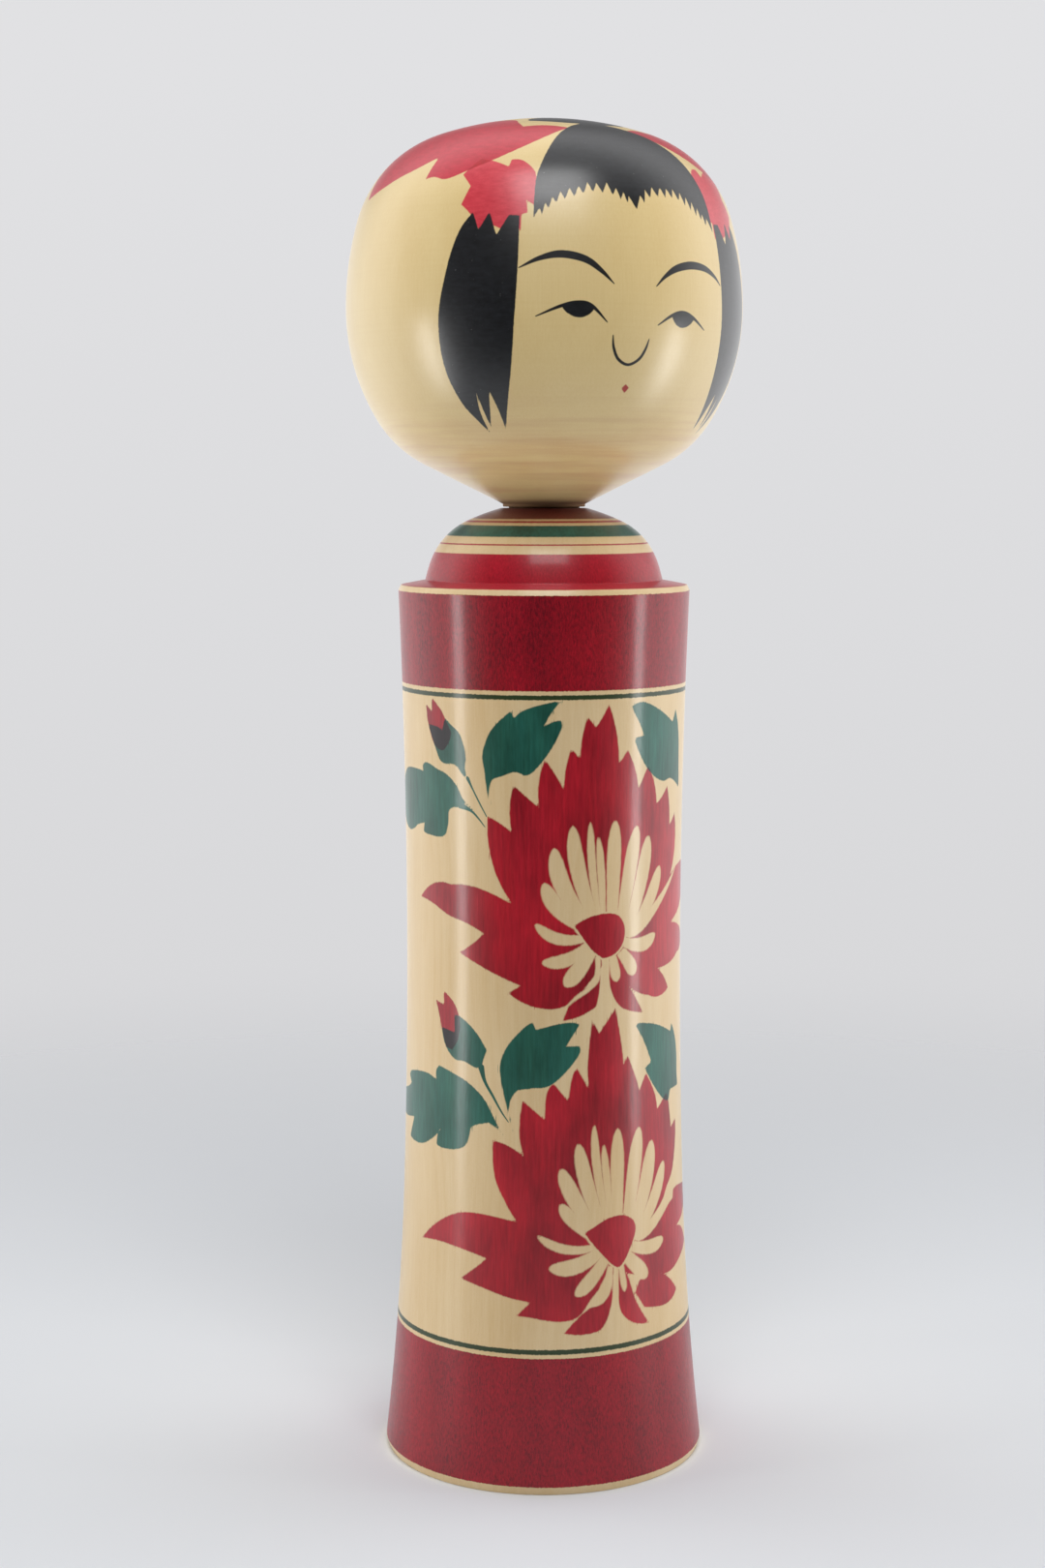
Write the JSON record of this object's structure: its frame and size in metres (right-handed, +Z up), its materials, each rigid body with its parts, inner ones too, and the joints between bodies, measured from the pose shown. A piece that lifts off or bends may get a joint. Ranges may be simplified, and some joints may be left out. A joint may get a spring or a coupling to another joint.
{
  "type": "kokeshi doll",
  "caption": "Turned wooden kokeshi doll with a waisted cylindrical body, stepped domed shoulder and a rounded head that turns on a snap-in neck.",
  "frame": {"origin": "centre of the flat base, on the surface the doll stands on", "axes": "+Z up along the turning axis, -Y out of the doll's face and the painted front, +X to the doll's left"},
  "size_m": [0.0887, 0.0888, 0.303],
  "materials": {
    "body_wood": "waxed, painted with water-based dye",
    "head_wood": "waxed, painted with water-based dye"
  },
  "bodies": {
    "body": {"body": "body_wood"},
    "head": {"head": "head_wood"}
  },
  "joints": [
    {"name": "head_turn", "type": "hinge", "parent": "body", "child": "head", "pos_m": [0, 0, 0.2175], "axis": [0, 0, 1], "continuous": true}
  ]
}
